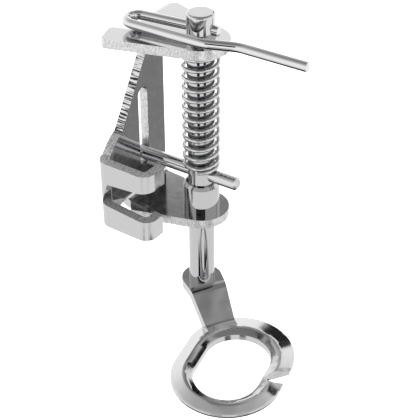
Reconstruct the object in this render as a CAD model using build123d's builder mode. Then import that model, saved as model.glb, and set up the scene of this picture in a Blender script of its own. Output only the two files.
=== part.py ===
"""Free-motion presser foot for a sewing machine, with a sprung rod and a lifting lever.

The origin is on the presser bar's axis at the height of the clamp screw.
+Z is up, +X runs from the bracket's web towards the rod, millimetres throughout.
"""
import os
from math import atan2, cos, radians, sin, tan

from build123d import *

os.makedirs("parts", exist_ok=True)

# Presser bar and clamp
bar_diameter = 7.2
bar_side_play = 0.4
bar_wall_play = 0.2
clamp_top = 6.5
clamp_bottom = -7.0
clamp_corner = 2.3
lip_reach = 5.0
lower_lip_reach = 4.2
screw_slot_height = 4.5
screw_slot_mouth = 6.6
screw_slot_end = 3.1
screw_slot_low_end = 4.8
slot_past_wall = 0.3
cut_past = 1.7

# Bracket sheet
sheet = 1.7
bend_inside = 0.7
rod_x = 8.2
rod_y = 7.2
lower_plate_top = -4.9
plate_gap = 31.9
plate_end_radius = 5.0
plate_flare = 18.0
far_edge_flare = 4.0
top_far_flare = 18.0
top_far_round = 4.5
web_top_near = 1.8
web_top_land = 1.5
web_waist_near = -6.7
web_waist_height = 14.5
web_neck_height = 2.7
flare_near = -10.4
flare_radius = 9.0
relief_near = -9.6
relief_low = -0.45
relief_far = -6.2
relief_height = 0.35
relief_land = 0.2
lower_corner_x = -9.7
ear_length = 15.8
ear_width = 4.7
ear_corner = 0.9
ear_neck_x = -10.9

# Plunger rod, pin and bush
rod_diameter = 4.8
running_clearance = 0.05
press_clearance = 0.01
rod_edge = 0.45
rod_head = 4.6
rod_below_plate = 14.9
spigot_diameter = 2.8
pin_diameter = 2.4
pin_turn = 2.0
pin_height = 7.15
pin_front = 7.6
pin_back_past_web = 0.6
pin_chamfer = 0.35
pin_slot_play = 0.1
pin_slot_top = 20.7
pin_slot_bottom = 4.6
bush_diameter = 6.5
bush_gap_to_pin = 0.5
bush_chamfer = 0.5
bush_neck_diameter = 5.8

# Compression spring
spring_outside = 6.7
spring_wire = 0.72
spring_coils = 11.0
spring_start_turn = -70.0
spring_seat_gap = 0.05
spring_end_gap = 0.04

# Lever wire
wire_diameter = 1.7
wire_above_plate = 0.9
wire_hole_clearance = 0.03
wire_turn = 8.0
wire_tail = 3.3
loop_distance = 10.6
strand_gap = 3.75
strand_front = 4.5
jog_start = 3.6
jog_end = 9.0
arm_front = 2.4
arm_end_front = 2.0
lever_reach = 21.3
lever_bend_radius = 6.0

# Foot
foot_sheet = 1.8
foot_turn = -34.5
tab_radius = 3.8
tab_flat = 3.4
strap_drop = 4.2
strap_landing = 1.3
strap_overlap = 1.6
strap_width = 5.8
strap_bend = 1.2
ring_distance = 19.3
ring_bearing = -38.9
ring_turn = 101.0
ring_outside_width = 20.0
ring_outside_length = 26.0
ring_rim = 0.65
ridge_width = 15.9
ridge_length = 20.4
ridge_land = 0.3
ring_inside_width = 12.1
ring_inside_length = 17.1
ring_inner_wall = 1.2
ridge_shift_x = 0.5
ridge_shift_y = -1.1
slit_width = 2.2
slit_turn = 54.0
slit_wall = 0.5

# Places worked out from the sizes, in coordinates of the rod's axis and the lower plate's top
channel = bar_diameter + 2 * bar_side_play
web_face = -rod_x - channel / 2
web_back = web_face - sheet
wall_face = -rod_y - bar_diameter / 2 - bar_wall_play
wall_outside = wall_face - sheet
lip_face = web_face + channel
lip_outside = lip_face + sheet
clamp_high = clamp_top - lower_plate_top
clamp_low = clamp_bottom - lower_plate_top
screw_axis = -lower_plate_top
top_plate_top = plate_gap + sheet
bend_outside = bend_inside + sheet
web_top_high = plate_gap - bend_inside
rod_radius = rod_diameter / 2
flare_slope = tan(radians(plate_flare))
front_touch = plate_end_radius * Vector(sin(radians(plate_flare)), -cos(radians(plate_flare)))
far_touch = plate_end_radius * Vector(sin(radians(far_edge_flare)), cos(radians(far_edge_flare)))
bend_line = web_face + bend_inside
pin_lean = sheet * abs(tan(radians(pin_turn)))
pin_slot_width = pin_diameter / cos(radians(pin_turn)) + pin_lean + 2 * pin_slot_play
far_edge = far_touch.Y + (far_touch.X - bend_line) * tan(radians(far_edge_flare))
top_touch = plate_end_radius * Vector(sin(radians(top_far_flare)), cos(radians(top_far_flare)))
top_far_edge = top_touch.Y + (top_touch.X - bend_line) * tan(radians(top_far_flare))


def level(height):
    """Horizontal plane on the rod's axis, at a height above the lower plate."""
    return Plane(origin=(rod_x, rod_y, lower_plate_top + height))


def upright(x):
    """Plane across the web's direction: sketch X is +Y, sketch Y is +Z."""
    return Plane(origin=(rod_x + x, rod_y, lower_plate_top), x_dir=(0, 1, 0), z_dir=(1, 0, 0))


def facing(y):
    """Plane facing the clamp wall: sketch X is +X, sketch Y is +Z."""
    return Plane(origin=(rod_x, rod_y + y, lower_plate_top), x_dir=(1, 0, 0), z_dir=(0, -1, 0))


def corner(sketch, x, y):
    """The sketch vertex nearest to a point given in the sketch plane's own coordinates."""
    return sketch.vertices().sort_by_distance(Vector(x, y, 0))[0]


def bend(height, start_angle, near, far):
    """A quarter turn of the bent sheet, from its near edge to its far edge."""
    with BuildPart() as turned:
        with BuildSketch(facing(near)):
            with BuildLine():
                inner = CenterArc((bend_line, height), bend_inside, start_angle, 90)
                outer = CenterArc((bend_line, height), bend_outside, start_angle, 90)
                Line(inner @ 0, outer @ 0)
                Line(inner @ 1, outer @ 1)
            make_face()
        extrude(amount=near - far)
    return turned.part


# Bracket: lower plate, web, top plate and clamp, bent from one sheet
lower_corner_y = front_touch.Y - (front_touch.X - lower_corner_x) * flare_slope
edge_run = Vector(-cos(radians(plate_flare)), -sin(radians(plate_flare)))
edge_in = Vector(-sin(radians(plate_flare)), cos(radians(plate_flare)))
ear_front = front_touch + ear_length * edge_run
ear_back = ear_front + ear_width * edge_in
ear_root_y = ear_back.Y + (ear_neck_x - ear_back.X) * flare_slope

# Cutter for the clamp screw's slot: through the wall, then past the lip's edge
slot_floor = wall_face + slot_past_wall
lip_edge = wall_outside + lip_reach + cut_past
with BuildPart() as screw_slot:
    with BuildSketch(facing(wall_outside)):
        with BuildLine():
            Polyline(
                (-rod_x - screw_slot_low_end, screw_axis - screw_slot_height / 2),
                (lip_outside + cut_past, screw_axis - screw_slot_mouth / 2),
                (lip_outside + cut_past, screw_axis + screw_slot_mouth / 2),
                (-rod_x - screw_slot_end, screw_axis + screw_slot_height / 2),
                close=True,
            )
        make_face()
    extrude(amount=wall_outside - lip_edge)
    with BuildSketch(level(screw_axis)):
        with BuildLine():
            Polyline(
                (web_back, wall_outside),
                (lip_outside + cut_past, wall_outside),
                (lip_outside + cut_past, lip_edge),
                (lip_face - cut_past, lip_edge),
                (lip_face - cut_past, slot_floor),
                (web_back, slot_floor),
                close=True,
            )
        make_face()
    extrude(amount=screw_slot_mouth, both=True, mode=Mode.INTERSECT)

with BuildPart() as bracket:
    with BuildSketch(level(0)):
        with BuildLine():
            Polyline(
                far_touch,
                (bend_line, far_edge),
                (bend_line, relief_far),
                (lower_corner_x, lower_corner_y),
                front_touch,
            )
            ThreePointArc(front_touch, (plate_end_radius, 0), far_touch)
        make_face()
    extrude(amount=-sheet)

    with BuildSketch(level(plate_gap)) as top_outline:
        with BuildLine():
            Polyline(
                top_touch,
                (bend_line, top_far_edge),
                (bend_line, web_top_near),
                (ear_neck_x, web_top_near),
                (ear_neck_x, ear_root_y),
                ear_back,
                ear_front,
                front_touch,
            )
            ThreePointArc(front_touch, (plate_end_radius, 0), top_touch)
        make_face()
        ear_corners = [corner(top_outline, tip.X, tip.Y) for tip in (ear_back, ear_front)]
        fillet(ear_corners, radius=ear_corner)
    extrude(amount=sheet)

    with BuildSketch(upright(web_face)):
        with BuildLine():
            Polyline(
                (flare_near, clamp_high),
                (flare_near, clamp_low),
                (relief_near, clamp_low),
                (relief_near, relief_low),
                (relief_far - relief_land, relief_height),
                (relief_far, bend_inside),
                (far_edge, bend_inside),
                (far_edge, web_top_high - web_neck_height),
                (top_far_edge, web_top_high - web_top_land),
                (top_far_edge, web_top_high),
                (web_top_near, web_top_high),
                (web_top_near, web_top_high - web_neck_height),
                (web_waist_near, web_waist_height),
            )
            RadiusArc((web_waist_near, web_waist_height), (flare_near, clamp_high), -flare_radius)
        make_face()
    extrude(amount=-sheet)

    with BuildSketch(level(clamp_low)) as clamp_plan:
        with BuildLine():
            Polyline(
                (web_back, relief_near),
                (web_back, wall_outside),
                (lip_outside, wall_outside),
                (lip_outside, wall_outside + lip_reach),
                (lip_face, wall_outside + lip_reach),
                (lip_face, wall_face),
                (web_face, wall_face),
                (web_face, relief_near),
                close=True,
            )
        make_face()
        outer_corners = [corner(clamp_plan, x, wall_outside) for x in (web_back, lip_outside)]
        fillet(outer_corners, radius=clamp_corner)
        inner_corners = [corner(clamp_plan, x, wall_face) for x in (web_face, lip_face)]
        fillet(inner_corners, radius=clamp_corner - sheet)
    extrude(amount=clamp_high - clamp_low)

    add(bend(bend_inside, 180, relief_far, far_edge))
    add(bend(web_top_high, 90, web_top_near, top_far_edge))

    with BuildSketch(level(clamp_low)):
        with Locations((web_back + top_far_round, top_far_edge - top_far_round)):
            beyond = top_far_round + cut_past
            Rectangle(beyond, beyond, align=(Align.MAX, Align.MIN))
            Circle(top_far_round, mode=Mode.SUBTRACT)
    extrude(amount=top_plate_top - clamp_low, mode=Mode.SUBTRACT)

    add(screw_slot.part, mode=Mode.SUBTRACT)
    with BuildSketch(facing(wall_outside + lower_lip_reach)):
        with Locations(((lip_face + lip_outside) / 2, (clamp_low + screw_axis) / 2)):
            Rectangle(sheet + 2 * cut_past, screw_axis - clamp_low)
    extrude(amount=-(lip_reach - lower_lip_reach), mode=Mode.SUBTRACT)

    with BuildSketch(upright(web_face)):
        pin_at_web = (web_face - sheet / 2) * tan(radians(pin_turn))
        with Locations((pin_at_web, (pin_slot_top + pin_slot_bottom) / 2)):
            SlotOverall(pin_slot_top - pin_slot_bottom, pin_slot_width, rotation=90)
    extrude(amount=-sheet, mode=Mode.SUBTRACT)

    with BuildSketch(level(plate_gap)):
        Circle(rod_radius + running_clearance)
    extrude(amount=sheet, mode=Mode.SUBTRACT)
    with BuildSketch(level(-sheet)):
        Circle(bush_neck_diameter / 2 + press_clearance)
    extrude(amount=sheet, mode=Mode.SUBTRACT)
bracket.part.label = "bracket"
export_step(bracket.part, "parts/bracket.step")


# Guide bush, pressed into the lower plate from above
bush_top = pin_height - pin_diameter / 2 - bush_gap_to_pin
with BuildPart() as guide_bushing:
    with BuildSketch(level(0)):
        Circle(bush_diameter / 2)
    extrude(amount=bush_top)
    chamfer(guide_bushing.faces().sort_by(Axis.Z)[-1].edges(), length=bush_chamfer)
    with BuildSketch(level(0)):
        Circle(bush_neck_diameter / 2)
    extrude(amount=-sheet)
    with BuildSketch(level(-sheet)):
        Circle(rod_radius + running_clearance)
    extrude(amount=bush_top + sheet, mode=Mode.SUBTRACT)
guide_bushing.part.label = "guide_bushing"
export_step(guide_bushing.part, "parts/guide_bushing.step")

# Rod, with a riveting spigot below and two cross holes
tab_top = -sheet - rod_below_plate
rod_top = top_plate_top + rod_head
wire_height = top_plate_top + wire_above_plate + wire_diameter / 2
along = Vector(cos(radians(wire_turn)), sin(radians(wire_turn)))
wire_axis = Plane(level(wire_height).origin, x_dir=(0, 0, 1), z_dir=along)
pin_along = Vector(cos(radians(pin_turn)), sin(radians(pin_turn)))
pin_axis = Plane(level(pin_height).origin, x_dir=(0, 0, 1), z_dir=pin_along)
with BuildPart() as rod:
    with BuildSketch(level(tab_top)):
        Circle(rod_radius)
    extrude(amount=rod_top - tab_top)
    fillet(rod.faces().sort_by(Axis.Z)[-1].edges(), radius=rod_edge)
    with BuildSketch(level(tab_top)):
        Circle(spigot_diameter / 2)
    extrude(amount=-foot_sheet)
    with BuildSketch(pin_axis):
        Circle(pin_diameter / 2 + press_clearance)
    extrude(amount=rod_diameter, both=True, mode=Mode.SUBTRACT)
    with BuildSketch(wire_axis):
        Circle(wire_diameter / 2 + wire_hole_clearance)
    extrude(amount=rod_diameter, both=True, mode=Mode.SUBTRACT)
rod.part.label = "rod"
export_step(rod.part, "parts/rod.step")

# Cross pin: its long side runs in the web's slot, its short side stands free
with BuildPart() as cross_pin:
    pin_back = (web_back - pin_back_past_web) / cos(radians(pin_turn))
    with BuildSketch(pin_axis.offset(pin_back)):
        Circle(pin_diameter / 2)
    extrude(amount=pin_front - pin_back)
    chamfer(cross_pin.edges().filter_by(GeomType.CIRCLE), length=pin_chamfer)
cross_pin.part.label = "cross_pin"
export_step(cross_pin.part, "parts/cross_pin.step")

# Compression spring: open coils with one closed coil at each end
spring_low = pin_height + pin_diameter / 2 + spring_seat_gap
spring_high = plate_gap - spring_seat_gap
coil_radius = (spring_outside - spring_wire) / 2
end_pitch = spring_wire + spring_end_gap
open_length = spring_high - spring_low - spring_wire - 2 * end_pitch
open_pitch = open_length / spring_coils


def spring_level(height):
    """Horizontal plane on the rod's axis whose X points at the end of the spring's wire."""
    wire_end = Vector(cos(radians(spring_start_turn)), sin(radians(spring_start_turn)))
    return Plane(level(height).origin, x_dir=wire_end, z_dir=(0, 0, 1))


def coil(start, pitch, turns):
    """One stretch of the spring's wire, from a height, with a round section."""
    with BuildPart() as stretch:
        with BuildLine(spring_level(start)) as helix:
            Helix(pitch=pitch, height=pitch * turns, radius=coil_radius)
        with BuildSketch(Plane(origin=helix.line @ 0, z_dir=helix.line % 0)):
            Circle(spring_wire / 2)
        sweep(path=helix.line, is_frenet=True)
    return stretch.part


wire_start = spring_low + spring_wire / 2
with BuildPart() as spring:
    add(coil(wire_start, end_pitch, 1))
    add(coil(wire_start + end_pitch, open_pitch, spring_coils))
    add(coil(wire_start + end_pitch + open_length, end_pitch, 1))
    for joint_height in (end_pitch, end_pitch + open_length):
        with Locations(spring_level(wire_start + joint_height)):
            with Locations((coil_radius, 0, 0)):
                Sphere(spring_wire / 2)
spring.part.label = "spring"
export_step(spring.part, "parts/spring.step")

# Lever wire: tail through the rod's head, hairpin loop, then the long arm over the needle clamp
aside = Vector(sin(radians(wire_turn)), -cos(radians(wire_turn)))
loop_radius = strand_gap / 2
tail_end = wire_tail * along
tail_root = -loop_distance * along
loop_tip = tail_root + loop_radius * aside - loop_radius * along
strand_root = tail_root + strand_gap * aside
with BuildPart() as lever_wire:
    with BuildLine(level(wire_height)) as wire_path:
        Line(tuple(tail_end), tuple(tail_root))
        ThreePointArc(tuple(tail_root), tuple(loop_tip), tuple(strand_root))
        FilletPolyline(
            tuple(strand_root),
            (jog_start, -strand_front),
            (jog_end, -arm_front),
            (lever_reach, -arm_end_front),
            radius=lever_bend_radius,
        )
    with BuildSketch(Plane(origin=wire_path.line @ 0, z_dir=wire_path.line % 0)):
        Circle(wire_diameter / 2)
    sweep(path=wire_path.line)
lever_wire.part.label = "lever_wire"
export_step(lever_wire.part, "parts/lever_wire.step")

# Foot: tab under the rod, sloping strap and oval ring, pressed from one sheet
strap_end = ring_distance - ridge_length / 2 + strap_overlap
strap_foot = strap_end - strap_landing
slope = atan2(strap_drop, strap_foot - tab_flat)
under_shift = foot_sheet * tan(slope / 2)
tab_place = level(tab_top).origin
foot_along = Vector(cos(radians(foot_turn)), sin(radians(foot_turn)), 0)
foot_across = Vector(-sin(radians(foot_turn)), cos(radians(foot_turn)), 0)
ring_top = tab_top - strap_drop
ring_bearing_along = Vector(cos(radians(ring_bearing)), sin(radians(ring_bearing)), 0)
ring_place = level(ring_top - foot_sheet).origin + ring_distance * ring_bearing_along
ridge_place = ring_place + Vector(ridge_shift_x, ridge_shift_y, 0)


def oval(place, height, length, width):
    """An oval outline of the ring at a height above its sole."""
    with BuildSketch(Plane(place + Vector(0, 0, height))) as outline:
        SlotCenterToCenter(length - width, width, rotation=ring_turn)
    return outline.sketch


with BuildPart() as ring:
    extrude(oval(ring_place, 0, ring_outside_length, ring_outside_width), amount=ring_rim)
    rim_top = oval(ring_place, ring_rim, ring_outside_length, ring_outside_width)
    ridge = oval(ridge_place, foot_sheet, ridge_length, ridge_width)
    loft([rim_top, ridge])
    hole = oval(ridge_place, 0, ring_inside_length, ring_inside_width)
    extrude(hole, amount=foot_sheet, mode=Mode.SUBTRACT)
    hole_top = oval(ridge_place, ring_inner_wall, ring_inside_length, ring_inside_width)
    ridge_inside = oval(ridge_place, foot_sheet, ridge_length - 2 * ridge_land, ridge_width - 2 * ridge_land)
    loft([hole_top, ridge_inside], mode=Mode.SUBTRACT)
    with BuildSketch(Plane(ring_place)):
        slit_reach = ring_outside_width / 2
        slit_along = Vector(cos(radians(slit_turn)), sin(radians(slit_turn)))
        slit_start = ridge_shift_x + ring_inside_width / 2 + slit_wall + slit_width / 2
        with Locations(Vector(slit_start, 0) + slit_reach / 2 * slit_along):
            SlotCenterToCenter(slit_reach, slit_width, rotation=slit_turn)
    extrude(amount=foot_sheet, mode=Mode.SUBTRACT)

with BuildPart() as foot:
    with BuildSketch(Plane(tab_place, x_dir=foot_along, z_dir=-foot_across)) as strap_side:
        with BuildLine():
            Polyline(
                (-tab_radius, 0),
                (tab_flat, 0),
                (strap_foot, -strap_drop),
                (strap_end, -strap_drop),
                (strap_end, -strap_drop - foot_sheet),
                (strap_foot - under_shift, -strap_drop - foot_sheet),
                (tab_flat - under_shift, -foot_sheet),
                (-tab_radius, -foot_sheet),
                close=True,
            )
        make_face()
        upper_outside = corner(strap_side, tab_flat, 0)
        lower_outside = corner(strap_side, strap_foot - under_shift, -strap_drop - foot_sheet)
        fillet([upper_outside, lower_outside], radius=strap_bend + foot_sheet)
        upper_inside = corner(strap_side, tab_flat - under_shift, -foot_sheet)
        lower_inside = corner(strap_side, strap_foot, -strap_drop)
        fillet([upper_inside, lower_inside], radius=strap_bend)
    extrude(amount=tab_radius, both=True)
    with BuildSketch(Plane(tab_place, x_dir=foot_along, z_dir=(0, 0, 1))):
        Circle(tab_radius)
        with BuildLine():
            Polyline(
                (0, tab_radius),
                (strap_foot, strap_width / 2),
                (strap_end, strap_width / 2),
                (strap_end, -strap_width / 2),
                (strap_foot, -strap_width / 2),
                (0, -tab_radius),
                close=True,
            )
        make_face()
    extrude(amount=-strap_drop - foot_sheet, mode=Mode.INTERSECT)
    add(ring.part)
    with BuildSketch(Plane(tab_place)):
        Circle(spigot_diameter / 2 + press_clearance)
    extrude(amount=-foot_sheet, mode=Mode.SUBTRACT)
foot.part.label = "foot"
export_step(foot.part, "parts/foot.step")
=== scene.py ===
# %% [markdown]
# # A free-motion presser foot in bright plated steel
# The foot holds the cloth down round the needle while it is moved by hand, and a sprung rod lets it hop.
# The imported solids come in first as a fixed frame, in metres, so every piece already stands in its place.
# Everything below only dresses them: finishes, rounded sheet edges, the coil spring, the studio and the camera.

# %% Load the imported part
import math

import bmesh
import bpy
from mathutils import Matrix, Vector


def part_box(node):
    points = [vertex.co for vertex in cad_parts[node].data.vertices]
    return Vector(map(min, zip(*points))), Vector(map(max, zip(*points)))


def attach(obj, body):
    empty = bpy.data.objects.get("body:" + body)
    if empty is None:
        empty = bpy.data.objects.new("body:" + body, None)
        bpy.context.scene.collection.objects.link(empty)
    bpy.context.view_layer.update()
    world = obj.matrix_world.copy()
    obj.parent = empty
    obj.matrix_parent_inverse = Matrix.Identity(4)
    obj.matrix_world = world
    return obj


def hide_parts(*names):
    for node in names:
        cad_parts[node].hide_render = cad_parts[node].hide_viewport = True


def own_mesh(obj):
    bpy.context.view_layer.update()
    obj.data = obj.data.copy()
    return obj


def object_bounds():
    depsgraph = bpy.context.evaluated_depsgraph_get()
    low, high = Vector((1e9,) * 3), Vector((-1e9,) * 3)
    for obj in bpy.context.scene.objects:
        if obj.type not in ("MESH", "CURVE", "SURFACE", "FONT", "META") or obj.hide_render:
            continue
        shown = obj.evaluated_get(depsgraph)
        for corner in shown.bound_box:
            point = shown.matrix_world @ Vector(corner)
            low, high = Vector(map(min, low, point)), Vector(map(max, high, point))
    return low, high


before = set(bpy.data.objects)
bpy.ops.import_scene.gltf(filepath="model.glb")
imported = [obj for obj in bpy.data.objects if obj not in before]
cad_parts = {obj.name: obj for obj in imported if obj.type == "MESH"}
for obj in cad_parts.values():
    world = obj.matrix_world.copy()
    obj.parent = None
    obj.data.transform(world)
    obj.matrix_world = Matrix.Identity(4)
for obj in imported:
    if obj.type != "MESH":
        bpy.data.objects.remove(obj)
cad_box = [list(corner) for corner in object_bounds()]
MM = 0.001
collection = bpy.context.scene.collection
print("nodes", sorted(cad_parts))

# %% [markdown]
# Every finish here is a node tree. Trees could be drawn by hand in the editor, but a script has to say each link,
# so one small function adds a node, gives it its settings and links its inputs.
# Colours are hex values as seen on a screen, and Blender shades in linear light, so one function turns them over.

# %% Helpers for node trees and colours


def linear(hex_code):
    """A screen colour such as c8c8c8 as linear RGBA."""
    channels = [int(hex_code[i:i + 2], 16) / 255 for i in (0, 2, 4)]
    return [c / 12.92 if c <= 0.04045 else ((c + 0.055) / 1.055) ** 2.4 for c in channels] + [1.0]


def add(tree, kind, links=None, values=None, **settings):
    """Adds one node: settings are its properties, values its sockets, links its incoming wires."""
    node = tree.nodes.new(kind)
    for name, value in settings.items():
        setattr(node, name, value)
    for socket, value in (values or {}).items():
        node.inputs[socket].default_value = value
    for socket, source in (links or {}).items():
        tree.links.new(source, node.inputs[socket])
    return node


def new_material(name):
    """An empty node material with its output node."""
    material = bpy.data.materials.new(name)
    material.use_nodes = True
    material.node_tree.nodes.clear()
    return material, add(material.node_tree, "ShaderNodeOutputMaterial")


print("white on screen is", linear("ffffff")[0], "in linear light")

# %% [markdown]
# The parts are steel plated with bright nickel. On polished wire and rod the plate is close to a mirror.
# On the pressed sheet it lies over the mill's fine grain, so it is a little hazy and wavy.
# A photo texture could show that, but it would need an unwrapped surface and a file.
# Two noises in Object coordinates do it, sized in millimetres: one varies the roughness, a wider one makes the waves.
# The real grain is finer than a pixel here, so the haze is drawn at 1 to 2 mm, as coarse as it needs to show.

# %% Plated steel finishes


def plated_steel(name, hex_code, roughness, haze_mm, wave_mm, wave_height_mm):
    """Nickel plate whose haze and waves are sized in millimetres."""
    material, output = new_material(name)
    tree = material.node_tree
    place = add(tree, "ShaderNodeTexCoord")
    haze = add(tree, "ShaderNodeTexNoise", {"Vector": place.outputs["Object"]},
               {"Scale": 1 / (haze_mm * MM), "Detail": 4.0})
    rough = add(tree, "ShaderNodeMapRange", {"Value": haze.outputs["Fac"]},
                {"From Min": 0.3, "From Max": 0.7, "To Min": roughness * 0.8, "To Max": roughness * 1.25})
    wave = add(tree, "ShaderNodeTexNoise", {"Vector": place.outputs["Object"]},
               {"Scale": 1 / (wave_mm * MM), "Detail": 1.0})
    bump = add(tree, "ShaderNodeBump", {"Height": wave.outputs["Fac"]},
               {"Distance": wave_height_mm * MM, "Strength": 1.0})
    shader = add(tree, "ShaderNodeBsdfPrincipled",
                 {"Roughness": rough.outputs["Result"], "Normal": bump.outputs["Normal"]},
                 {"Base Color": linear(hex_code), "Metallic": 1.0})
    tree.links.new(shader.outputs["BSDF"], output.inputs["Surface"])
    return material


# The pressing is the most wavy: forming the ring and the strap stretched its skin.
sheet_finish = plated_steel("nickel_plated_sheet", "bababb", roughness=0.10,
                            haze_mm=1.2, wave_mm=3.0, wave_height_mm=0.008)
foot_finish = plated_steel("nickel_plated_pressing", "bababb", roughness=0.12,
                           haze_mm=1.2, wave_mm=5.0, wave_height_mm=0.120)
turned_finish = plated_steel("polished_turned_steel", "b4b4b5", roughness=0.03,
                             haze_mm=2.0, wave_mm=6.0, wave_height_mm=0.004)
wire_finish = plated_steel("plated_lever_wire", "bebebf", roughness=0.05,
                           haze_mm=2.0, wave_mm=6.0, wave_height_mm=0.004)
spring_finish = plated_steel("plated_spring_wire", "b4b4b5", roughness=0.04,
                             haze_mm=2.0, wave_mm=6.0, wave_height_mm=0.004)
print("finishes", [m.name for m in (sheet_finish, foot_finish, turned_finish, wire_finish, spring_finish)])

# %% [markdown]
# A press shears the sheet. The cut edge keeps a bright burnished part and a torn part,
# with small ragged teeth that the plating doesn't hide. Modelling each tooth would cost thousands of faces.
# A noise gives them instead. The teeth run through the sheet's thickness,
# so the noise is stretched along that axis, and the same noise sets their tone, roughness and depth.
# Real teeth are finer than this: they are drawn about a quarter of a millimetre wide so that they show.

# %% Sheared edge finish

burnished_hex = "c4c4c5"
tooth_depth_mm = 0.05
torn_haze = 0.2


def sheared_edge(name, stretch, tooth_mm, torn_tone_and_painted_light_hex, smooth):
    """The cut edge of the sheet, with teeth that run along one axis."""
    material, output = new_material(name)
    tree = material.node_tree
    place = add(tree, "ShaderNodeTexCoord")
    drawn = add(tree, "ShaderNodeMapping", {"Vector": place.outputs["Object"]}, {"Scale": stretch})
    teeth = add(tree, "ShaderNodeTexNoise", {"Vector": drawn.outputs["Vector"]},
                {"Scale": 1 / (tooth_mm * MM), "Detail": 2.0, "Roughness": 0.5})
    torn = add(tree, "ShaderNodeMapRange", {"Value": teeth.outputs["Fac"]}, {"From Min": 0.45, "From Max": 0.57})
    tone = add(tree, "ShaderNodeMix", {0: torn.outputs["Result"]},
               {6: linear(burnished_hex), 7: linear(torn_tone_and_painted_light_hex)}, data_type="RGBA")
    rough = add(tree, "ShaderNodeMapRange", {"Value": torn.outputs["Result"]},
                {"To Min": smooth, "To Max": smooth + torn_haze})
    bump = add(tree, "ShaderNodeBump", {"Height": teeth.outputs["Fac"]},
               {"Distance": tooth_depth_mm * MM, "Strength": 0.7})
    shader = add(tree, "ShaderNodeBsdfPrincipled",
                 {"Base Color": tone.outputs[2], "Roughness": rough.outputs["Result"], "Normal": bump.outputs["Normal"]},
                 {"Metallic": 1.0})
    tree.links.new(shader.outputs["BSDF"], output.inputs["Surface"])
    return material


# The torn tone is set per copy by the way the edge faces. It is near black on the web's slanting edge, and close to the
# burnished tone on the level plates' edges, the web's slot and the clamp's rims. That difference is painted shade and
# painted light. The teeth and their random tone are the edge's own.
upright_edge_painted_shade = sheared_edge("sheared_edge_of_upright_sheet_painted_shade", stretch=(0.08, 1.0, 1.0), tooth_mm=0.26,
                            torn_tone_and_painted_light_hex="303032", smooth=0.25)
level_edge_painted_light = sheared_edge("sheared_edge_of_level_sheet_painted_light", stretch=(1.0, 1.0, 0.4), tooth_mm=0.28,
                          torn_tone_and_painted_light_hex="b8b8b9", smooth=0.18)
clamp_rim_painted_light = sheared_edge("sheared_rim_of_clamp_painted_light", stretch=(1.0, 1.0, 1.0), tooth_mm=0.28,
                         torn_tone_and_painted_light_hex="a4a4a5", smooth=0.55)
print("edges", upright_edge_painted_shade.name, level_edge_painted_light.name, clamp_rim_painted_light.name)

# %% [markdown]
# The rod, its bush and the cross pin are turned on a lathe, and the lever is drawn wire bent into a hairpin.
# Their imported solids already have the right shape, so a new mesh would add nothing: they only get their finish.

# %% Assign the finishes of the turned and drawn pieces
for node, finish in {"guide_bushing": turned_finish, "rod": turned_finish,
                     "cross_pin": turned_finish, "lever_wire": wire_finish}.items():
    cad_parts[node].data.materials.clear()
    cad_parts[node].data.materials.append(finish)
    print(node, "is", finish.name)

# %% [markdown]
# Tumbling after the press rounds the sheet's edges, and each one catches a thin line of light.
# A sharp edge has no such line, and a bevel in the shader alone would leave the mesh sharp.
# So the bracket and the foot are copied from the solids, merged and given that small round with a bevel.
# The normals then follow the large faces, which keeps the reflections on the flat sheet straight.

# %% Rounded sheet pieces

weld_mm = 0.0005
flat_degrees = 0.05
sharp_degrees = 24


def rounded_copy(node, round_mm):
    """A copy of a solid's mesh, merged, with its sharp edges rounded."""
    shape = bmesh.new()
    shape.from_mesh(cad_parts[node].data)
    bmesh.ops.remove_doubles(shape, verts=shape.verts, dist=weld_mm * MM)
    bmesh.ops.dissolve_limit(shape, angle_limit=math.radians(flat_degrees), verts=shape.verts, edges=shape.edges)
    mesh = bpy.data.meshes.new(node + "_rounded")
    shape.to_mesh(mesh)
    shape.free()
    mesh.shade_smooth()
    host = bpy.data.objects.new(node + "_host", mesh)
    collection.objects.link(host)
    bevel = host.modifiers.new("tumbled_edges", "BEVEL")
    bevel.width = round_mm * MM
    bevel.segments = 2
    bevel.limit_method = "ANGLE"
    bevel.angle_limit = math.radians(sharp_degrees)
    bevel.use_clamp_overlap = True
    even = host.modifiers.new("normals_of_the_large_faces", "WEIGHTED_NORMAL")
    even.mode = "FACE_AREA"
    even.weight = 100
    drawn = bpy.data.meshes.new_from_object(host.evaluated_get(bpy.context.evaluated_depsgraph_get()))
    bpy.data.objects.remove(host)
    piece = bpy.data.objects.new(node + "_rounded", drawn)
    collection.objects.link(piece)
    return piece


bracket = rounded_copy("bracket", round_mm=0.16)
foot = rounded_copy("foot", round_mm=0.12)
foot.data.materials.clear()
foot.data.materials.append(foot_finish)
bracket.data.materials.clear()
edge_finishes = [sheet_finish, upright_edge_painted_shade, level_edge_painted_light, clamp_rim_painted_light]
for finish in edge_finishes:
    bracket.data.materials.append(finish)
print("bracket faces", len(bracket.data.polygons), "foot faces", len(foot.data.polygons))

# %% [markdown]
# The bracket is one sheet, so its cut edges and its rolled faces are the same mesh. Faces could be listed by number,
# but numbers change with the mesh. Where a face lies and which way it looks doesn't:
# on the two level plates the cut faces stand upright, on the web they face along the sheet,
# and on the clamp they are its level rims. The web's slanting edge gets the dark torn tone, a painted shade, and its
# slot gets the pale one, a painted light.

# %% Where the sheet lies

rod_low, rod_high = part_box("rod")
bracket_low, bracket_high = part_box("bracket")
rod_centre = (rod_low + rod_high) / 2
SHEET, BEND, WEB_FACE = 1.7 * MM, 0.7 * MM, -4.0 * MM
top_low, lower_high = bracket_high.z - SHEET, -4.9 * MM
clamp_front = bracket_low.y + 5.0 * MM
ear_side = rod_centre.y + 1.5 * MM
plate_root = -1.6 * MM
print("plates at mm", top_low / MM, lower_high / MM)

# %% Tell the cut edges from the sheet's faces


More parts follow.
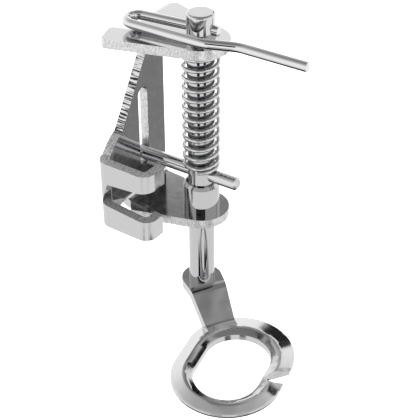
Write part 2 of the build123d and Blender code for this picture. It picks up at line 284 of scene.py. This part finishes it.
def cut_edge(centre, normal):
    """The finish for a bracket face, from its centre and its normal."""
    in_web = WEB_FACE - SHEET < centre.x < WEB_FACE
    along_web = abs(normal.x) < 0.3
    upright = abs(normal.z) < 0.3
    level = abs(normal.z) > 0.5
    slanting = abs(normal.z) > 0.08
    past_bend = centre.x > WEB_FACE + BEND
    if centre.y < clamp_front and level:
        return clamp_rim_painted_light
    if in_web and along_web and centre.y > clamp_front and lower_high < centre.z < top_low - BEND:
        return upright_edge_painted_shade if slanting else level_edge_painted_light
    on_top_plate = centre.z > top_low and (past_bend or centre.y < ear_side)
    on_lower_plate = lower_high - SHEET < centre.z < lower_high and past_bend and centre.y > plate_root
    if upright and (on_top_plate or on_lower_plate):
        return level_edge_painted_light
    return sheet_finish


# Each cut face gets the dark or the pale copy of the edge by the way it faces: painted shade and painted light.
for polygon in bracket.data.polygons:
    polygon.material_index = edge_finishes.index(cut_edge(polygon.center, polygon.normal))
counts = [sum(p.material_index == i for p in bracket.data.polygons) for i in range(len(edge_finishes))]
print("faces per finish", dict(zip([f.name for f in edge_finishes], counts)))

# %% [markdown]
# The bracket stays on the machine and the foot moves with the rod, so each rides on its own body.
# Each stands for the CAD node that it was copied from, which stays for collision.

# %% The sheet pieces ride on their bodies
for piece, body, node, slot in ((bracket, "holder", "bracket", "plated_sheet"),
                                (foot, "plunger", "foot", "plated_sheet")):
    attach(piece, body)
    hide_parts(node)
    print(piece.name, "rides on", body)

# %% [markdown]
# The compression spring follows a rule: a round wire climbs a helix, with one closed coil at each end.
# It is wound on a mandrel in the same way. A screw modifier could make the open coils but not the closed ends,
# so a node tree turns a straight line of points into the coils and sweeps the wire's round section along it.

# %% The spring's sizes, from the frame

low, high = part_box("spring")
closed_coils, points_per_coil, wire_sides = 2, 40, 16
sizes = {"Coil radius": 2.99 * MM, "Wire radius": 0.36 * MM, "Open coils": 11.0, "End pitch": 0.76 * MM,
         "Start turn": math.radians(-70)}
sizes["Start height"] = low.z + sizes["Wire radius"]
open_height = high.z - low.z - 2 * sizes["Wire radius"] - closed_coils * sizes["End pitch"]
sizes["Open pitch"] = open_height / sizes["Open coils"]
point_count = (int(sizes["Open coils"]) + closed_coils) * points_per_coil + 1
print("open pitch mm", sizes["Open pitch"] / MM, "points", point_count)

# %% The tree's named inputs

tree = bpy.data.node_groups.new("coil_spring", "GeometryNodeTree")
sockets = {}
for name in sizes:
    socket = tree.interface.new_socket(name, in_out="INPUT", socket_type="NodeSocketFloat")
    sockets[name] = socket.identifier
tree.interface.new_socket("Spring", in_out="OUTPUT", socket_type="NodeSocketGeometry")
given = add(tree, "NodeGroupInput")
print("inputs", list(sockets))

# %% [markdown]
# Each point knows how far along the line it is, and so how many turns it has made.
# The turn gives its place on the circle. The rise is the end pitch in the closed coils and the open pitch between them,
# so the turns past the first closed coil are counted, up to the number of open ones.

# %% Round the mandrel

turns_all = add(tree, "ShaderNodeMath", {0: given.outputs["Open coils"]}, {1: float(closed_coils)}, operation="ADD")
line = add(tree, "GeometryNodeCurvePrimitiveLine")
points = add(tree, "GeometryNodeResampleCurve", {"Curve": line.outputs["Curve"]}, {"Count": point_count})
along = add(tree, "GeometryNodeSplineParameter")
turn = add(tree, "ShaderNodeMath", {0: along.outputs["Factor"], 1: turns_all.outputs[0]}, operation="MULTIPLY")
angle = add(tree, "ShaderNodeMath", {0: turn.outputs[0], 2: given.outputs["Start turn"]}, {1: math.tau},
            operation="MULTIPLY_ADD")
cosine = add(tree, "ShaderNodeMath", {0: angle.outputs[0]}, operation="COSINE")
sine = add(tree, "ShaderNodeMath", {0: angle.outputs[0]}, operation="SINE")
x = add(tree, "ShaderNodeMath", {0: cosine.outputs[0], 1: given.outputs["Coil radius"]}, operation="MULTIPLY")
y = add(tree, "ShaderNodeMath", {0: sine.outputs[0], 1: given.outputs["Coil radius"]}, operation="MULTIPLY")
print("nodes so far", len(tree.nodes))

# %% Up the rod

past_end = add(tree, "ShaderNodeMath", {0: turn.outputs[0]}, {1: 1.0}, operation="SUBTRACT")
opened = add(tree, "ShaderNodeMath", {0: past_end.outputs[0]}, {1: 0.0}, operation="MAXIMUM")
opened = add(tree, "ShaderNodeMath", {0: opened.outputs[0], 1: given.outputs["Open coils"]}, operation="MINIMUM")
extra = add(tree, "ShaderNodeMath", {0: given.outputs["Open pitch"], 1: given.outputs["End pitch"]},
            operation="SUBTRACT")
rise_open = add(tree, "ShaderNodeMath", {0: opened.outputs[0], 1: extra.outputs[0]}, operation="MULTIPLY")
rise = add(tree, "ShaderNodeMath",
           {0: turn.outputs[0], 1: given.outputs["End pitch"], 2: rise_open.outputs[0]}, operation="MULTIPLY_ADD")
z = add(tree, "ShaderNodeMath", {0: rise.outputs[0], 1: given.outputs["Start height"]}, operation="ADD")
place = add(tree, "ShaderNodeCombineXYZ", {"X": x.outputs[0], "Y": y.outputs[0], "Z": z.outputs[0]})
rod_axis = ((low.x + high.x) / 2, (low.y + high.y) / 2, 0)
centre = add(tree, "ShaderNodeVectorMath", {0: place.outputs[0]}, {1: rod_axis}, operation="ADD")
helix = add(tree, "GeometryNodeSetPosition", {"Geometry": points.outputs["Curve"], "Position": centre.outputs[0]})
print("rod axis mm", [round(v / MM, 2) for v in rod_axis])

# %% Sweep the wire along the helix

section = add(tree, "GeometryNodeCurvePrimitiveCircle", {"Radius": given.outputs["Wire radius"]},
              {"Resolution": wire_sides}, mode="RADIUS")
wire = add(tree, "GeometryNodeCurveToMesh",
           {"Curve": helix.outputs["Geometry"], "Profile Curve": section.outputs["Curve"]}, {"Fill Caps": True})
whole = add(tree, "GeometryNodeRealizeInstances", {"Geometry": wire.outputs["Mesh"]})
painted = add(tree, "GeometryNodeSetMaterial", {"Geometry": whole.outputs["Geometry"]}, {"Material": spring_finish})
add(tree, "NodeGroupOutput", {"Spring": painted.outputs["Geometry"]})
print("spring nodes", len(tree.nodes))

# %% [markdown]
# The spring sits between the top plate and the cross pin. When the foot lifts, the pin pushes its lower end up
# and the top plate holds the upper one. A rigid spring would cut through the pin as the rod slides, and this one is a
# single rigid mesh that rides on the holder.

# %% The spring as a mesh, on the holder

host = bpy.data.objects.new("spring_host", bpy.data.meshes.new("spring_host"))
collection.objects.link(host)
modifier = host.modifiers.new("coils", "NODES")
modifier.node_group = tree
for name, value in sizes.items():
    modifier[sockets[name]] = value
drawn = bpy.data.meshes.new_from_object(host.evaluated_get(bpy.context.evaluated_depsgraph_get()))
bpy.data.objects.remove(host)
spring = bpy.data.objects.new("coil_spring", drawn)
collection.objects.link(spring)
for polygon in drawn.polygons:
    polygon.use_smooth = True
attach(spring, "holder")
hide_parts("spring")
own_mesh(spring)
print("spring triangles about", len(drawn.polygons) * 2)

# %% [markdown]
# The camera stands where the photograph was taken: in front of the clamp, to its right, looking down at 35 degrees.
# A longer lens would flatten the part and a shorter one would swell the ring, so the distance counts as much as the angle.

# %% Camera at the photograph's angle

stand_mm = Vector((102.94, -130.27, 112.33))
aim_mm = Vector((9.461, 8.052, -6.079))
camera = bpy.data.objects.new("camera", bpy.data.cameras.new("camera"))
collection.objects.link(camera)
camera.data.lens = 96.26
camera.data.sensor_width = 36.0
camera.data.clip_start = 0.01
camera.location = stand_mm * MM
aim = aim_mm * MM
camera.rotation_mode = "QUATERNION"
camera.rotation_quaternion = (aim - camera.location).to_track_quat("-Z", "Y")
bpy.context.scene.camera = camera
print("camera distance mm", (aim - camera.location).length / MM)

# %% [markdown]
# A white paper sweep lies under the part and rises far round it, as in a catalogue picture.
# Real paper in a light tent is lit from all sides, so it glows a little here and doesn't block light from below.
# It isn't mirrored in the metal either: the tent in the next step decides what the metal shows.

# %% Floor

paper_glow = 0.75
sweep_reach, sweep_height, sole = 2.0, 1.5, cad_box[0][2] - 0.05 * MM
floor_material, output = new_material("white_paper_sweep")
tree = floor_material.node_tree
paper = add(tree, "ShaderNodeBsdfDiffuse", values={"Color": linear("f4f4f4")})
glow = add(tree, "ShaderNodeEmission", values={"Color": (1, 1, 1, 1), "Strength": paper_glow})
mixed = add(tree, "ShaderNodeAddShader", {0: paper.outputs[0], 1: glow.outputs[0]})
tree.links.new(mixed.outputs[0], output.inputs["Surface"])
sweep = bmesh.new()
corners = ((-1, -1), (1, -1), (1, 1), (-1, 1))
flat = [sweep.verts.new((x * sweep_reach, y * sweep_reach, sole)) for x, y in corners]
risen = [sweep.verts.new((corner.co.x, corner.co.y, sole + sweep_height)) for corner in flat]
sweep.faces.new(flat)
for i, j in ((0, 1), (1, 2), (2, 3), (3, 0)):
    sweep.faces.new((flat[j], flat[i], risen[i], risen[j]))
mesh = bpy.data.meshes.new("floor")
sweep.to_mesh(mesh)
sweep.free()
mesh.materials.append(floor_material)
floor = bpy.data.objects.new("floor", mesh)
collection.objects.link(floor)
floor.visible_glossy = False
floor.visible_shadow = False
print("sweep faces", len(mesh.polygons))

# %% [markdown]
# Polished metal shows only what stands round it, so the studio is built for its reflections: a plain white tent
# over a pale table. Lamps would burn hard spots into the plating, and a tent's soft, even light doesn't.
# Its cloth gets greyer towards the roof, and its heights are sines of the elevation.

# %% The white tent

WHITE_CLOTH, SHADED_CLOTH, PALE_TABLE = linear("e8e8e8"), linear("a0a0a0"), linear("d0d0d0")
table_edge, cloth_foot = -0.55, -0.40
shade_start, shade_end = 0.30, 0.85
world = bpy.data.worlds.new("studio")
bpy.context.scene.world = world
world.use_nodes = True
tree = world.node_tree
tree.nodes.clear()
look = add(tree, "ShaderNodeTexCoord")
parts = add(tree, "ShaderNodeSeparateXYZ", {0: look.outputs["Generated"]})
compass = add(tree, "ShaderNodeMath", {0: parts.outputs["Y"], 1: parts.outputs["X"]}, operation="ARCTAN2")
height = parts.outputs["Z"]
rising = add(tree, "ShaderNodeMapRange", {"Value": height}, {"From Min": table_edge, "From Max": cloth_foot},
             interpolation_type="SMOOTHSTEP")
tent = add(tree, "ShaderNodeMix", {0: rising.outputs["Result"]}, {6: PALE_TABLE, 7: WHITE_CLOTH},
           data_type="RGBA").outputs[2]
shaded = add(tree, "ShaderNodeMapRange", {"Value": height}, {"From Min": shade_start, "From Max": shade_end},
             interpolation_type="SMOOTHSTEP")
tent = add(tree, "ShaderNodeMix", {0: shaded.outputs["Result"], 6: tent}, {7: SHADED_CLOTH},
           data_type="RGBA").outputs[2]
print("tent over table, greyer towards its roof")

# %% [markdown]
# In an all white tent bright plating looks like paper. So a few dark cards hang where a face of the part turns to them,
# and each shape gets its edge: flags beside the camera for the rod, one overhead for the coils, one behind the ring.
# A card is one tone between two edges of the compass and two heights, with soft borders.

# %% A way to hang a card


def hang(tent, tone, bearing, width, low, high, soft=0.03):
    """Hangs one card: its bearing and width in degrees, its lower and upper edge as sines of the elevation."""
    turned = add(tree, "ShaderNodeMath", {0: compass.outputs[0]}, {1: math.radians(bearing)}, operation="SUBTRACT")
    wrapped = add(tree, "ShaderNodeMath", {0: turned.outputs[0]}, {1: math.pi, 2: -math.pi}, operation="WRAP")
    aside = add(tree, "ShaderNodeMath", {0: wrapped.outputs[0]}, operation="ABSOLUTE")
    half = math.radians(width / 2)
    share = None
    for value, outside, inside in ((aside.outputs[0], half + soft, half - soft),
                                   (height, low - soft, low + soft),
                                   (height, high + soft, high - soft)):
        border = add(tree, "ShaderNodeMapRange", {"Value": value}, {"From Min": outside, "From Max": inside},
                     interpolation_type="SMOOTHSTEP").outputs["Result"]
        if share is not None:
            border = add(tree, "ShaderNodeMath", {0: share, 1: border}, operation="MULTIPLY").outputs[0]
        share = border
    return add(tree, "ShaderNodeMix", {0: share, 6: tent}, {7: tone}, data_type="RGBA").outputs[2]


# %% Dark cards in the tent

GREY_CARD, BLACK_FLAG = linear("707070"), linear("101010")
ALL_ROUND, ZENITH, NADIR = 400, 1.1, -1.1
CRISP = 0.01
# The roof, seen by the strap, and the dark floor under the coils
tent = hang(tent, GREY_CARD, bearing=0, width=ALL_ROUND, low=0.88, high=ZENITH)
tent = hang(tent, BLACK_FLAG, bearing=0, width=ALL_ROUND, low=NADIR, high=-0.78)
# The corner that the web faces, and a back card for the lower plate
tent = hang(tent, GREY_CARD, bearing=52, width=12, low=-0.56, high=-0.30, soft=CRISP)
tent = hang(tent, GREY_CARD, bearing=122, width=14, low=0.54, high=0.68)
# Lower flags for the bare rod, upper flags for the rod inside the coils
for beside_camera in (-76, -24):
    tent = hang(tent, BLACK_FLAG, beside_camera, width=22, low=-0.68, high=-0.605, soft=CRISP)
    tent = hang(tent, BLACK_FLAG, beside_camera, width=22, low=-0.53, high=-0.44, soft=CRISP)
# The overhead flag, which draws a line on each coil
tent = hang(tent, BLACK_FLAG, bearing=-62, width=60, low=0.24, high=0.62)
# Behind the ring's outer slope
tent = hang(tent, BLACK_FLAG, bearing=104, width=18, low=0.04, high=0.40)
# High in the corner, seen in the lower plate by way of the web
tent = hang(tent, BLACK_FLAG, bearing=56, width=14, low=0.48, high=0.62, soft=0.015)
# Beside the ring's inner slope
tent = hang(tent, BLACK_FLAG, bearing=85, width=24, low=0.62, high=0.82)
print("studio nodes", len(tree.nodes))

# %% [markdown]
# The finishes here give back about half of the light, somewhat less than clean nickel, so the tent is lit to
# nearly twice white.
# A white card then comes back white, and light that has bounced between coils comes back dark, as on real plating.
# The plain screen transform keeps those greys as they are.

# %% Light level
sky = add(tree, "ShaderNodeBackground", {"Color": tent}, {"Strength": 1.94})
add(tree, "ShaderNodeOutputWorld", {"Surface": sky.outputs["Background"]})
bpy.context.scene.view_settings.view_transform = "Standard"
print("light level", sky.inputs["Strength"].default_value)
